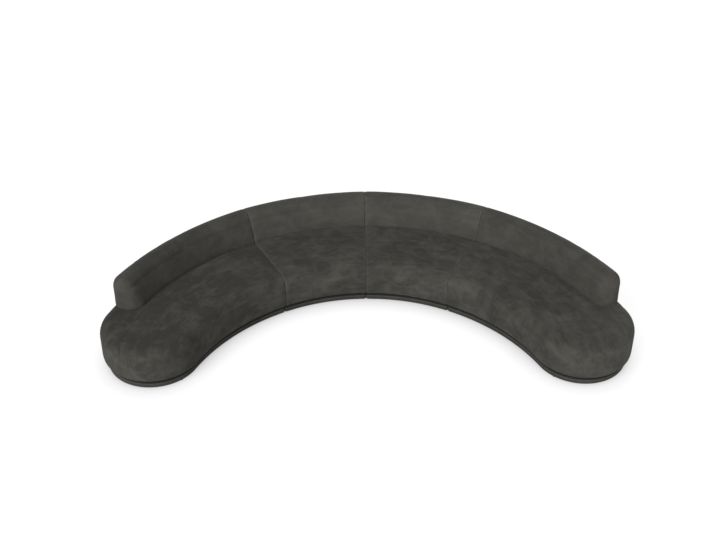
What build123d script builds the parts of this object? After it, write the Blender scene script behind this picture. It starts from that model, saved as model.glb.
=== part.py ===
from build123d import *
from math import acos, atan2, cos, degrees, pi, radians, sin, sqrt
import os

os.makedirs("parts", exist_ok=True)

# A curved modular sofa: two middle modules, and two end modules that finish in a backless round pad.
# Millimetres. Every shape is drawn about the centre of the sofa's arc, with +Y towards the back and angles
# counted in degrees from +Y towards +X, and is moved to the middle of the footprint when it is written.

# Plan
seat_front_radius = 1555
back_face_radius = 2490
crease_radius = 2205
seat_rear_radius = 2364
end_front_radius = 1725
joint_angle = 28.5
pad_angle = 67.6
back_end_angle = 66.7
module_gap = 3

# Heights
glide_height = 6
plinth_top = 84
webbing_level = 300
seat_crown_height = 424
back_height = 695

# Seat cushion
seat_crown_radius = 7000
seat_front_round = 90
seat_foot_round = 40
joint_round = 18
cover_thickness = 2
foam_play = 0.9

# Backrest cushion
back_top_round = 102
back_seat_play = 0.4
back_belly = 8
end_cap_angle = 58
end_cap_seam = 0.4

# Padding between the frames and the covers
front_padding = 45
back_padding = 20
back_top_padding = 30

# Timber frames
rail_thickness = 22
rib_thickness = 20
back_rail_height = 50
back_rail_level = 450
plinth_setback = 42
plinth_cover_thickness = 2.5
plinth_board = 18
plinth_round = 20
dust_cover_thickness = 2
dust_cover_margin = 75

# Webbing
strap_width = 60
strap_thickness = 2
strap_lines = (1770, 1970, 2170)

# Glides
glide_radius = 12
glide_pin_radius = 2.5
glide_pin_length = 20
peeping_glide_reach = 5
pad_glide_turns = (145, 95)
peeping_glide_turn = 221

# Connectors between modules
tongue_width = 40
tongue_thickness = 5
tongue_reach = 60
socket_clearance = 0.6
socket_wall = 3
flange_width = 90
flange_height = 50
flange_thickness = 3
flange_margin = 1.5
connector_level = 190
connector_radii = (1760, 2180)

# Bolts and screws
bolt_radius = 4
bolt_head_radius = 8
bolt_head_height = 5
bolt_levels = (150, 260)
bolt_seat_play = 0.1
screw_radius = 2.5
screw_head_radius = 4.5
screw_head_height = 2.5
screw_length = 16
plinth_screw_radii = (1830, 2230)
plinth_screw_reach = 30

# Places along a module's arc, as shares of its angle
rib_shares = {"middle": (1 / 3, 2 / 3), "end": (0.28, 0.56, 0.84)}
post_shares = {"middle": (0.06, 0.35, 0.65, 0.94), "end": (0.05, 0.22, 0.44, 0.66, 0.87)}
glide_shares = {"middle": (0.1, 0.9), "end": (0.08, 0.55)}
strap_shares = {"middle": (1 / 6, 1 / 2, 5 / 6), "end": (0.14, 0.42, 0.7)}

# Heights of the sections that shape the backrest's round end, as shares of its wall and of its top
wall_section_shares = (0, 0.12, 0.24, 0.36, 0.48, 0.61, 0.74, 0.87, 1)
top_section_shares = (0.2, 0.39, 0.55, 0.7, 0.82, 0.91, 0.97, 0.995)

seat_bottom = plinth_top
frame_bottom = seat_bottom + dust_cover_thickness
half_gap = module_gap / 2
rail_offset = half_gap + joint_round
plate_offset = rail_offset - flange_thickness
overrun = back_height
match_tolerance = 0.05
bolt_face = seat_rear_radius - cover_thickness - rail_thickness - bolt_seat_play
back_frame_rear = back_face_radius - cover_thickness - back_padding
back_frame_top = back_height - cover_thickness - back_top_padding - back_top_round / 2
screw_seat = plinth_top - plinth_screw_reach
screw_top = frame_bottom + plinth_screw_reach
foam_bottom = webbing_level + 2 * strap_thickness
foam_inset = cover_thickness + foam_play
back_frame_bottom = seat_bottom + seat_foot_round
bolt_end = back_frame_rear - bolt_head_height
module_start = {"middle": 0, "end": joint_angle}
module_stop = {"middle": joint_angle, "end": pad_angle}


def outward(angle):
    """Unit vector along the radius at an angle."""
    return Vector(sin(radians(angle)), cos(radians(angle)))


def sideways(angle):
    """Unit vector square to the radius at an angle, towards growing angles."""
    return Vector(cos(radians(angle)), -sin(radians(angle)))


def flat(point):
    """A point seen in plan."""
    return Vector(point.X, point.Y)


# The front of an end module follows a flatter arc, so its round pad is a little narrower than the seat.
# The pad's circle touches that arc and the arc of the back face.
front_shift = end_front_radius - seat_front_radius
front_centre = outward(joint_angle) * -front_shift
lean_in = front_shift * cos(radians(pad_angle - joint_angle))
pad_radius = (
    (back_face_radius**2 + front_shift**2 + 2 * lean_in * back_face_radius - end_front_radius**2)
    / (2 * (end_front_radius + back_face_radius + lean_in))
)
pad_centre = outward(pad_angle) * (back_face_radius - pad_radius)
row_shift = (back_face_radius + pad_centre.Y - pad_radius) / 2


# Plans and turned shapes

def on_side(radius, angle, offset):
    """Point at a radius, on the line that runs beside the radial line at an angle."""
    return outward(angle) * sqrt(radius**2 - offset**2) + sideways(angle) * offset


def upright(face, low, high):
    """Solid over a plan, between two heights."""
    return Pos(0, 0, low) * extrude(face, high - low, dir=(0, 0, 1))


def ring_plan(front, rear, start, stop, start_offset, stop_offset):
    """Part of a ring between two angles, its sides set in from the radial lines there."""
    a = on_side(front, start, start_offset)
    b = on_side(rear, start, start_offset)
    c = on_side(rear, stop, -stop_offset)
    d = on_side(front, stop, -stop_offset)
    middle = outward((start + stop) / 2)
    return make_face([
        Line(a, b),
        ThreePointArc(b, middle * rear, c),
        Line(c, d),
        ThreePointArc(d, middle * front, a),
    ])


def end_plan(inset, side):
    """Plan of an end module: front arc, round pad, back arc, joint."""
    front = end_front_radius + inset
    rear = back_face_radius - inset
    to_pad = (pad_centre - front_centre).normalized()
    half_way = (to_pad + outward(joint_angle)).normalized()
    start = front_centre + outward(joint_angle) * sqrt(front**2 - side**2) + sideways(joint_angle) * side
    front_touch = front_centre + to_pad * front
    tip = pad_centre + sideways(pad_angle) * (pad_radius - inset)
    rear_touch = outward(pad_angle) * rear
    finish = on_side(rear, joint_angle, side)
    return make_face([
        ThreePointArc(start, front_centre + half_way * front, front_touch),
        ThreePointArc(front_touch, tip, rear_touch),
        ThreePointArc(rear_touch, outward((pad_angle + joint_angle) / 2) * rear, finish),
        Line(finish, start),
    ])


def module_plan(kind, inset, side):
    """Plan of a module, drawn in from its outline and from its joints."""
    if kind == "end":
        return end_plan(inset, side)
    return ring_plan(seat_front_radius + inset, back_face_radius - inset, 0, joint_angle, side, side)


def turned(profile):
    """Full ring from a profile drawn with x as radius and y as height."""
    return revolve(Rot(90, 0, 0) * profile, Axis.Z)


def joint_sides(kind):
    """Angle of each joint of a module, and the way into the module from it."""
    return [(0, 1), (joint_angle, -1)] if kind == "middle" else [(joint_angle, 1)]


def stations(kind, shares):
    """Angles inside a module, from shares of its arc."""
    return [module_start[kind] + (module_stop[kind] - module_start[kind]) * share for share in shares]


def bar(angle, near, far, width, low, high):
    """Straight bar along the radius at an angle."""
    length = far - near
    place = Pos(*(outward(angle) * (near + length / 2))) * Rot(0, 0, -angle)
    return Pos(0, 0, (low + high) / 2) * place * Box(width, length, high - low)


def standing_pin(spot, radius, low, high):
    """Upright cylinder at a spot in plan."""
    return Pos(spot.X, spot.Y, (low + high) / 2) * Cylinder(radius, high - low)


# Seat cushion

crown_line = (seat_front_radius + back_face_radius) / 2
crown_base = seat_crown_height - seat_crown_radius


def seat_top(radius, inset=0):
    """Height of the seat's crowned top at a radius."""
    return crown_base + sqrt((seat_crown_radius - inset)**2 - (radius - crown_line)**2)


back_level = seat_top(crease_radius) + back_seat_play
top_centre = Vector(back_face_radius - back_top_round, back_height - back_top_round)
foot_half = (back_face_radius - crease_radius) / 2
strip_angle = back_end_angle - degrees(foot_half / (crease_radius + foot_half))


def crown_ring(inset):
    """Everything under the seat's crowned top."""
    near = seat_front_radius - pad_radius
    far = back_face_radius + pad_radius
    near_top = (near, seat_top(near, inset))
    far_top = (far, seat_top(far, inset))
    return turned(make_face([
        Line((near, 0), (far, 0)),
        Line((far, 0), far_top),
        ThreePointArc(far_top, (crown_line, seat_top(crown_line, inset)), near_top),
        Line(near_top, (near, 0)),
    ]))


def on_outline(point, kind, inset):
    """Whether a point lies above the module's front, pad or back arc."""
    spot = flat(point)
    if kind == "middle":
        misses = [spot.length - seat_front_radius - inset]
    else:
        misses = [
            (spot - front_centre).length - end_front_radius - inset,
            (spot - pad_centre).length - pad_radius + inset,
            spot.length - back_face_radius + inset,
        ]
    return min(abs(miss) for miss in misses) < match_tolerance


def outline_edges(body, kind, inset, upper):
    """Edges along the front, pad and back arcs, at the top or at the bottom."""
    half_height = (seat_bottom + seat_crown_height) / 2
    return [
        edge for edge in body.edges()
        if edge.bounding_box().size.Z < seat_front_round
        and (edge.center().Z > half_height) == upper
        and on_outline(edge @ 0.5, kind, inset)
    ]


def face_edges(body, angle, offset):
    """Edges in the upright plane of a joint."""
    return [
        edge for edge in body.edges()
        if all(abs(flat(edge @ at).dot(sideways(angle)) - offset) < match_tolerance for at in (0, 0.5, 1))
    ]


def seat_joint_edges(body, angle, offset, rear):
    """Edges of the seat's face at a joint, without the upright one at its rear."""
    return [
        edge for edge in face_edges(body, angle, offset)
        if edge.bounding_box().size.Z < joint_round or flat(edge @ 0.5).length < rear - joint_round
    ]


def seat_body(kind, inset):
    """Cushioned seat of a module: crowned top, rounded front and foot, sides drawn in at the joints."""
    side = half_gap + inset
    rear = seat_rear_radius - inset
    plan = module_plan(kind, inset, side)
    start = module_start[kind]
    stop = joint_angle if kind == "middle" else strip_angle
    past = overrun if kind == "middle" else inset
    plan -= ring_plan(rear, back_face_radius + overrun, start, stop, -overrun, -past)
    body = upright(plan, seat_bottom + inset, seat_crown_height + overrun) & crown_ring(inset)
    body = fillet(outline_edges(body, kind, inset, True), seat_front_round - inset)
    body = fillet(outline_edges(body, kind, inset, False), seat_foot_round - inset)
    edges = []
    for angle, way in joint_sides(kind):
        edges += seat_joint_edges(body, angle, way * side, rear)
    return fillet(edges, joint_round - inset)


# Backrest cushion

def lean(inset):
    """Foot of the backrest's leaning face, the point where it meets the round top, and its direction."""
    foot = Vector(crease_radius + inset, back_level + inset)
    reach = foot - top_centre
    swing = atan2(reach.Y, reach.X) % (2 * pi) - acos((back_top_round - inset) / reach.length)
    out = Vector(cos(swing), sin(swing))
    return foot, top_centre + out * (back_top_round - inset), swing


def back_profile(inset):
    """Section of the backrest's cushion, with x as radius and y as height."""
    foot, touch, swing = lean(inset)
    out = Vector(cos(swing), sin(swing))
    crest = top_centre + Vector(cos(swing / 2), sin(swing / 2)) * (back_top_round - inset)
    outer = back_face_radius - inset
    inner = seat_rear_radius + inset
    bottom = seat_bottom + inset
    foot_round = seat_foot_round - inset
    bend = foot_round * (1 - sqrt(2) / 2)
    return make_face([
        ThreePointArc(foot, (foot + touch) / 2 + out * back_belly, touch),
        ThreePointArc(touch, crest, (outer, top_centre.Y)),
        Line((outer, top_centre.Y), (outer, bottom + foot_round)),
        ThreePointArc((outer, bottom + foot_round), (outer - bend, bottom + bend), (outer - foot_round, bottom)),
        Line((outer - foot_round, bottom), (inner, bottom)),
        Line((inner, bottom), (inner, foot.Y)),
        Line((inner, foot.Y), foot),
    ])


def back_joint_edges(body, angle, offset):
    """Edges of the backrest's face at a joint that show: not its underside, nor its inner edge."""
    found = []
    for edge in face_edges(body, angle, offset):
        spot = edge @ 0.5
        inner = flat(spot).length < back_face_radius - joint_round
        if not (inner and seat_bottom + joint_round < spot.Z < back_level + joint_round):
            found.append(edge)
    return found


def long_back(inset, start, stop, joints):
    """Backrest between two angles, drawn in at the joints."""
    side = half_gap + inset
    offsets = [side if start in joints else 0, side if stop in joints else 0]
    wedge = ring_plan(crease_radius, back_face_radius + overrun, start, stop, *offsets)
    body = turned(back_profile(inset)) & upright(wedge, 0, back_height + overrun)
    edges = []
    if start in joints:
        edges += back_joint_edges(body, start, side)
    if stop in joints:
        edges += back_joint_edges(body, stop, -side)
    return fillet(edges, joint_round - inset)


def back_reach(height, inset):
    """Inner and outer radius of the backrest's cushion at a height."""
    foot, touch, swing = lean(inset)
    round_top = back_top_round - inset
    rise = max(0, height - top_centre.Y)
    half = sqrt(round_top**2 - rise**2)
    if height >= touch.Y:
        return top_centre.X - half, top_centre.X + half
    chord = (touch - foot).length
    belly_radius = (chord**2 / 4 + back_belly**2) / (2 * back_belly)
    hub = (foot + touch) / 2 - Vector(cos(swing), sin(swing)) * (belly_radius - back_belly)
    return hub.X - sqrt(belly_radius**2 - (height - hub.Y)**2), top_centre.X + half


def cap_start(inset):
    """Angle where the backrest's round end starts."""
    return end_cap_angle + degrees(inset / crease_radius)


def end_cap_wire(height, inset):
    """Outline at a height of the backrest's round end."""
    first = cap_start(inset)
    inner, outer = back_reach(height, inset)
    half = (outer - inner) / 2
    line = inner + half
    finish = back_end_angle - degrees((half + back_face_radius - outer) / line)
    middle = outward((first + finish) / 2)
    tip = outward(finish) * line + sideways(finish) * half
    start = outward(first)
    stop = outward(finish)
    return Pos(0, 0, height) * Wire([
        Line(start * inner, start * outer),
        ThreePointArc(start * outer, middle * outer, stop * outer),
        ThreePointArc(stop * outer, tip, stop * inner),
        ThreePointArc(stop * inner, middle * inner, start * inner),
    ])


def end_cap(inset):
    """Round end of an end module's backrest, down to the pad that it stands on."""
    small = inset + end_cap_seam
    foot = back_level + inset
    heights = [foot + (top_centre.Y - foot) * share for share in wall_section_shares]
    heights += [top_centre.Y + (back_top_round - small) * share for share in top_section_shares]
    cap = Solid.make_loft([end_cap_wire(height, small) for height in heights])
    skirt = extrude(make_face(end_cap_wire(foot, small)), seat_front_round, dir=(0, 0, -1))
    cap = cap + skirt - seat_body("end", -back_seat_play - inset)
    strip = ring_plan(crease_radius, back_face_radius + overrun, cap_start(small), strip_angle, 0, inset)
    return cap + (turned(back_profile(inset)) & upright(strip, 0, foot))


def back_body(kind, inset):
    """Cushioned backrest of a module."""
    if kind == "middle":
        return long_back(inset, 0, joint_angle, (0, joint_angle))
    return long_back(inset, joint_angle, cap_start(inset + end_cap_seam), (joint_angle,)) + end_cap(inset)


# Connectors between modules

def at_joint(radius, angle, way):
    """Frame at a joint with x into the module, y along the radius and z up, at connector height."""
    spot = outward(angle) * radius
    into = sideways(angle) * way
    return Plane((spot.X, spot.Y, connector_level), x_dir=(into.X, into.Y, 0), z_dir=(0, 0, 1))


def block(near, far, width, height):
    """Box along x from near to far, centred on the other axes."""
    return Pos((near + far) / 2, 0, 0) * Box(far - near, width, height)


def plate(near, margin):
    """Block from a side rail towards the joint, as wide and high as a connector's plate with a margin."""
    return block(near, rail_offset, flange_width + 2 * margin, flange_height + 2 * margin)


def tube_room():
    """Clear room for the tongue in a socket's tube."""
    width = tongue_width + 2 * socket_clearance
    return block(0, tongue_reach + socket_clearance, width, tongue_thickness + 2 * socket_clearance)


def tube_block():
    """Outer shape of a socket's tube, from the plate through the side rail."""
    grown = 2 * (socket_clearance + socket_wall)
    return block(plate_offset, tongue_reach + socket_wall, tongue_width + grown, tongue_thickness + grown)


def screw_spots():
    """Places of the two screws of a plate, along the radius."""
    edge = (flange_width + tongue_width) / 4 + socket_wall
    return (-edge, edge)


def screw_shank(spot):
    """Shank of a screw through a plate into the side rail."""
    return Pos(plate_offset + screw_length / 2, spot, 0) * Rot(0, 90, 0) * Cylinder(screw_radius, screw_length)


def plate_screw(spot):
    """Screw with its head on the plate."""
    place = Pos(plate_offset - screw_head_height / 2, spot, 0) * Rot(0, 90, 0)
    return screw_shank(spot) + place * Cylinder(screw_head_radius, screw_head_height)


def tongue():
    """Plate with a flat steel tongue that reaches into the next module's socket."""
    made = plate(plate_offset, 0) + block(-tongue_reach, rail_offset, tongue_width, tongue_thickness)
    for spot in screw_spots():
        made -= screw_shank(spot)
    return made


def socket():
    """Plate with a steel tube that takes the tongue."""
    made = plate(plate_offset, 0) + tube_block() - tube_room()
    for spot in screw_spots():
        made -= screw_shank(spot)
    return made


def connectors(shape, angle, way):
    """The same piece at each place along a joint."""
    return [at_joint(radius, angle, way) * shape for radius in connector_radii]


def windows(kind):
    """Openings in the padding and the cover for the connector plates."""
    room = plate(0, flange_margin)
    return [window for angle, way in joint_sides(kind) for window in connectors(room, angle, way)]


# Frames

def trim_rear(plan, kind, rear, past):
    """Plan without the strip behind the seat that the backrest takes."""
    stop = joint_angle if kind == "middle" else strip_angle
    reach = overrun if kind == "middle" else past
    return plan - ring_plan(rear, back_face_radius + overrun, module_start[kind], stop, -overrun, -reach)


def frame_plan(kind, grow):
    """Plan of the seat frame, drawn in further by grow."""
    plan = module_plan(kind, cover_thickness + front_padding + grow, rail_offset + grow)
    return trim_rear(plan, kind, seat_rear_radius - cover_thickness - grow, cover_thickness + grow)


def ladder(kind, outside, inside, low, high):
    """Curved frame: boards between two plans, and ribs across."""
    room = upright(outside, low, high)
    frame = room - upright(inside, 0, back_height)
    angles = stations(kind, rib_shares[kind])
    for angle in angles:
        frame += bar(angle, seat_front_radius, back_face_radius, rib_thickness, low, high) & room
    if kind == "end":
        last = outward(angles[-1]) * pad_centre.length
        reach = pad_centre + sideways(pad_angle) * pad_radius - last
        place = Pos(*(last + reach / 2)) * Rot(0, 0, degrees(atan2(reach.Y, reach.X)))
        frame += (Pos(0, 0, (low + high) / 2) * place * Box(reach.length, rib_thickness, high - low)) & room
    return frame


def plinth_outline(kind, inset):
    """Plan of the plinth, with rounded corners at the joints."""
    plan = module_plan(kind, plinth_setback + inset, half_gap + inset)
    corners = [
        vertex for vertex in plan.vertices()
        if any(
            abs(flat(vertex.center()).dot(sideways(angle)) - way * (half_gap + inset)) < match_tolerance
            for angle, way in joint_sides(kind)
        )
    ]
    return fillet(corners, plinth_round - inset)


def plinth_cover(kind):
    """Fabric band round the plinth."""
    band = plinth_outline(kind, 0) - plinth_outline(kind, plinth_cover_thickness)
    return upright(band, glide_height, plinth_top)


def glide_spots(kind):
    """Places of the glides in plan."""
    in_board = plinth_setback + plinth_cover_thickness + plinth_board / 2
    spots = []
    for angle in stations(kind, glide_shares[kind]):
        front = (front_centre, end_front_radius) if kind == "end" else (Vector(), seat_front_radius)
        spots.append(front[0] + outward(angle) * (front[1] + in_board))
        spots.append(outward(angle) * (back_face_radius - in_board))
    if kind == "end":
        spots += [pad_centre + outward(turn) * (pad_radius - in_board) for turn in pad_glide_turns]
        edge = pad_radius - plinth_setback + peeping_glide_reach - glide_radius
        spots.append(pad_centre + outward(peeping_glide_turn) * edge)
    return spots


def glides(kind):
    """Plastic discs with pins, under the plinth."""
    made = []
    for spot in glide_spots(kind):
        disc = standing_pin(spot, glide_radius, 0, glide_height)
        disc = fillet(disc.edges().sort_by(Axis.Z)[0], glide_height / 3)
        made.append(disc + standing_pin(spot, glide_pin_radius, 0, glide_height + glide_pin_length))
    return made


def plinth_screws(kind, shank, head, low, seat):
    """Upright screws that hold the seat frame's ribs on the plinth's bearers."""
    made = []
    for angle in stations(kind, rib_shares[kind]):
        for radius in plinth_screw_radii:
            spot = outward(angle) * radius
            made.append(standing_pin(spot, head, low, seat) + standing_pin(spot, shank, low, screw_top))
    return made


def plinth_frame(kind):
    """Timber plinth with bearers, bored for the glides' pins and the screws."""
    inset = plinth_cover_thickness + plinth_board
    inside = module_plan(kind, plinth_setback + inset, half_gap + inset)
    frame = ladder(kind, plinth_outline(kind, plinth_cover_thickness), inside, glide_height, plinth_top)
    for spot in glide_spots(kind):
        frame -= standing_pin(spot, glide_pin_radius, glide_height, glide_height + glide_pin_length)
    for screw in plinth_screws(kind, screw_radius, screw_head_radius, glide_height, screw_seat):
        frame -= screw
    return frame


def seat_frame(kind, sockets):
    """Timber seat frame, bored for the bolts and screws, and cut for the connectors' tubes."""
    outside = frame_plan(kind, 0)
    frame = ladder(kind, outside, frame_plan(kind, rail_thickness), frame_bottom, webbing_level)
    for shaft in bolt_shafts(kind) + plinth_screws(kind, screw_radius, screw_radius, glide_height, screw_seat):
        frame -= shaft
    for angle, way in joint_sides(kind):
        for spot in screw_spots():
            for shank in connectors(screw_shank(spot), angle, way):
                frame -= shank
        if angle in sockets:
            for tube in connectors(tube_block(), angle, way):
                frame -= tube
    return frame


def back_stop(kind):
    """Angle where the back frame stops, and how far it stays off the radial line there."""
    return (joint_angle, rail_offset) if kind == "middle" else (strip_angle, cover_thickness)


def back_frame_room(kind):
    """Space inside the padding that the back frame takes up."""
    stop, stop_offset = back_stop(kind)
    near = seat_rear_radius + cover_thickness
    plan = ring_plan(near, back_frame_rear, module_start[kind], stop, rail_offset, stop_offset)
    return upright(plan, back_frame_bottom, back_frame_top)


def back_frame(kind):
    """Posts and two curved rails."""
    stop, stop_offset = back_stop(kind)
    near = back_frame_rear - rail_thickness
    rail = ring_plan(near, back_frame_rear, module_start[kind], stop, rail_offset, stop_offset)
    frame = upright(rail, back_frame_top - back_rail_height, back_frame_top)
    frame += upright(rail, back_rail_level, back_rail_level + back_rail_height)
    room = back_frame_room(kind)
    for angle in stations(kind, post_shares[kind]):
        frame += bar(angle, crease_radius, back_face_radius, rib_thickness, 0, back_height) & room
    for shaft in bolt_shafts(kind):
        frame -= shaft
    return frame


def bolt_places(kind):
    """Angles and heights of the bolts that hold the back frame's posts."""
    return [(angle, level) for angle in stations(kind, post_shares[kind]) for level in bolt_levels]


def lying_pin(angle, level, near, far, radius):
    """Cylinder along the radius at an angle."""
    place = Pos(*(outward(angle) * ((near + far) / 2))) * Rot(0, 0, -angle) * Rot(90, 0, 0)
    return Pos(0, 0, level) * place * Cylinder(radius, far - near)


def bolt_shafts(kind):
    """Room for the bolts through the seat frame's rear rail, both covers and the posts."""
    return [
        lying_pin(angle, level, bolt_face, bolt_end, bolt_radius) for angle, level in bolt_places(kind)
    ]


def fasteners(kind):
    """Bolts of the back frame, screws of the plinth and screws of the connector plates."""
    made = []
    for angle, level in bolt_places(kind):
        head = lying_pin(angle, level, bolt_face - bolt_head_height, bolt_face, bolt_head_radius)
        made.append(head + lying_pin(angle, level, bolt_face, bolt_end, bolt_radius))
    head_low = screw_seat - screw_head_height
    made += plinth_screws(kind, screw_radius, screw_head_radius, head_low, screw_seat)
    for angle, way in joint_sides(kind):
        for spot in screw_spots():
            made += connectors(plate_screw(spot), angle, way)
    return made


# Soft pieces

def webbing(kind):
    """Elastic straps from front to rear, and straps along the seat laid over them."""
    room = frame_plan(kind, rail_thickness / 2)
    middle = webbing_level + strap_thickness
    lower = upright(room, webbing_level, middle)
    upper = upright(room, middle, foam_bottom)
    made = []
    for angle in stations(kind, strap_shares[kind]):
        made += (bar(angle, seat_front_radius, back_face_radius, strap_width, 0, foam_bottom) & lower).solids()
    stop = module_stop[kind] + (joint_angle if kind == "end" else 0)
    for line in strap_lines:
        ring = ring_plan(line - strap_width / 2, line + strap_width / 2, module_start[kind], stop, 0, 0)
        made += (upright(ring, 0, foam_bottom) & upper).solids()
    return made


def seat_foam(kind):
    """Foam slab on the webbing."""
    return seat_body(kind, foam_inset) - upright(module_plan(kind, 0, 0), 0, foam_bottom)


def edge_padding(kind):
    """Foam round the front and the sides of the seat frame."""
    slab = upright(module_plan(kind, 0, 0), foam_bottom, back_height)
    band = seat_body(kind, foam_inset) - slab - upright(frame_plan(kind, 0), 0, foam_bottom)
    for window in windows(kind):
        band -= window
    return band


def seat_cover(kind):
    """Fabric over the seat, its front and its sides, open underneath."""
    cover = seat_body(kind, 0) - seat_body(kind, cover_thickness)
    for cut in [upright(dust_plan(kind), 0, frame_bottom), *bolt_shafts(kind), *windows(kind)]:
        cover -= cut
    return cover


def dust_plan(kind):
    """Plan of the opening under the seat's cover."""
    plan = module_plan(kind, dust_cover_margin, dust_cover_margin)
    return trim_rear(plan, kind, seat_rear_radius - dust_cover_margin, dust_cover_margin)


def dust_cover(kind):
    """Thin cloth that closes the seat frame from below."""
    cloth = upright(dust_plan(kind), seat_bottom, frame_bottom)
    for screw in plinth_screws(kind, screw_radius, screw_radius, glide_height, screw_seat):
        cloth -= screw
    return cloth


def back_foam(kind):
    """Foam round the back frame."""
    return back_body(kind, foam_inset) - back_frame_room(kind)


def back_cover(kind):
    """Fabric over the backrest, down its rear face."""
    cover = back_body(kind, 0) - back_body(kind, cover_thickness)
    for shaft in bolt_shafts(kind):
        cover -= shaft
    return cover


# Assembly

def solids_of(made):
    """Every solid in a shape or a list of shapes."""
    shapes = made if isinstance(made, list) else [made]
    return [solid for shape in shapes for solid in shape.solids()]


def write(name, made, mirrored):
    """Write one piece or group of pieces, moved to the middle of the footprint."""
    solids = solids_of(made)
    if mirrored:
        solids = [mirror(solid, Plane.YZ) for solid in solids]
    solids = [Pos(0, -row_shift, 0) * solid for solid in solids]
    export_step(solids[0] if len(solids) == 1 else Compound(solids), f"parts/{name}.step")


def build_module(name, kind, mirrored, sockets):
    """Write the pieces of one module."""
    pieces = {
        "plinth_cover": plinth_cover(kind),
        "plinth_frame": plinth_frame(kind),
        "glides": glides(kind),
        "seat_frame": seat_frame(kind, sockets),
        "webbing": webbing(kind),
        "seat_foam": seat_foam(kind),
        "edge_padding": edge_padding(kind),
        "seat_cover": seat_cover(kind),
        "dust_cover": dust_cover(kind),
        "back_frame": back_frame(kind),
        "back_foam": back_foam(kind),
        "back_cover": back_cover(kind),
        "fasteners": fasteners(kind),
    }
    for piece, made in pieces.items():
        write(f"{name}_{piece}", made, mirrored)


build_module("left_end", "end", True, (joint_angle,))
build_module("left_middle", "middle", True, ())
build_module("right_middle", "middle", False, (0,))
build_module("right_end", "end", False, (joint_angle,))

write("centre_tongues", connectors(tongue(), 0, 1), True)
write("centre_sockets", connectors(socket(), 0, 1), False)
for side, mirrored in (("left", True), ("right", False)):
    write(f"{side}_tongues", connectors(tongue(), joint_angle, -1), mirrored)
    write(f"{side}_sockets", connectors(socket(), joint_angle, 1), mirrored)
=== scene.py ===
import math

import bmesh
import bpy
import numpy as np
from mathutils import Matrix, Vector, noise


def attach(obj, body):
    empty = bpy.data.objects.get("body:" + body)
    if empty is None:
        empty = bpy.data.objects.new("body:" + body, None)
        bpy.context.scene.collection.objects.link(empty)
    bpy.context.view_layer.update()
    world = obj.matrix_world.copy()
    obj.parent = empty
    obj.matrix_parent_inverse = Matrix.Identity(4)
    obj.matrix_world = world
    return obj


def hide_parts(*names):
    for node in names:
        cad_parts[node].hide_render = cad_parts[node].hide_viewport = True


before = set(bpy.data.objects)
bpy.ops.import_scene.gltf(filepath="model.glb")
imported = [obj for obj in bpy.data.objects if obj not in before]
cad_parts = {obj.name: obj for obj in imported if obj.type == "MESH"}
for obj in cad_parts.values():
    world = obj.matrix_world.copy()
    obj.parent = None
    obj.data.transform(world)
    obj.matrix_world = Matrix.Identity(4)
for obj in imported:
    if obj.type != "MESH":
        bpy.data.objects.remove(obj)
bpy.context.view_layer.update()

# Lengths are in metres and angles in radians. Shapes are worked out about the centre of the sofa's arc,
# for the right-hand modules, and are then moved to the row frame. The left-hand modules mirror them.

SEAT_FRONT = 1.555
BACK_FACE = 2.490
CREASE = 2.205
SEAT_REAR = 2.364
SEAT_EDGE = SEAT_REAR - 0.001
END_FRONT = 1.725
JOINT = math.radians(28.5)
PAD = math.radians(67.6)
BACK_END = math.radians(66.7)
END_LEAN = 0.026
HALF_GAP = 0.0015
CREASE_GAP = 0.0004
CLOTH_GAP = 0.0001
ROW_SHIFT = 1.408839

PLINTH_TOP = 0.084
CROWN_HEIGHT = 0.424
CROWN_RADIUS = 7.0
CROWN_LINE = (SEAT_FRONT + BACK_FACE) / 2
BACK_HEIGHT = 0.695
TOP_ROUND = 0.102
FRONT_ROUND = 0.090
FOOT_ROUND = 0.040
HIDDEN_ROUND = 0.004
LEAST_ROUND = 0.001
JOINT_WIDTH = 0.019
JOINT_DEPTH = 0.009
BELLY = 0.008
SEAM_INSET = 0.072
WALL_TOP = 0.3238

WINDOW_RADII = (1.760, 2.180)
WINDOW_LEVEL = 0.190
WINDOW_HALF = (0.0465, 0.0265)
WINDOW_DEPTH = 0.0176

PLINTH_SETBACK = 0.042
PLINTH_ROUND = 0.020
LINING_INSET = 0.075
LINING_TOP = 0.0857
LINING_THICKNESS = 0.0008


def outward(angle):
    return np.array([math.sin(angle), math.cos(angle)])


def sideways(angle):
    return np.array([math.cos(angle), -math.sin(angle)])


def steps(count):
    """Shares from 0 to 1 in even steps."""
    return np.linspace(0, 1, count + 1)


def between(a, b, shares):
    """Points on the line from a to b, at shares of the way."""
    return a + (b - a) * np.asarray(shares)[:, None]


def ramp(value, start, width):
    """0 up to start, and from there evenly up to 1 over a width."""
    return np.clip((value - start) / width, 0, 1)


def smooth(value, low, high):
    """0 below low, 1 above high, and a soft step between."""
    share = ramp(value, low, high - low)
    return share * share * (3 - 2 * share)


def crown(radius):
    """Height of the seat's crowned top at a distance from the arc's centre."""
    return CROWN_HEIGHT - CROWN_RADIUS + np.sqrt(CROWN_RADIUS**2 - (radius - CROWN_LINE)**2)


def beside_joint(centre, radius, angle, offset):
    """Point of a circle at a distance from the plane of the joint at an angle."""
    return centre + outward(angle) * math.sqrt(radius**2 - offset**2) + sideways(angle) * offset


# The end module's front arc runs into the circle of its round pad

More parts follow.
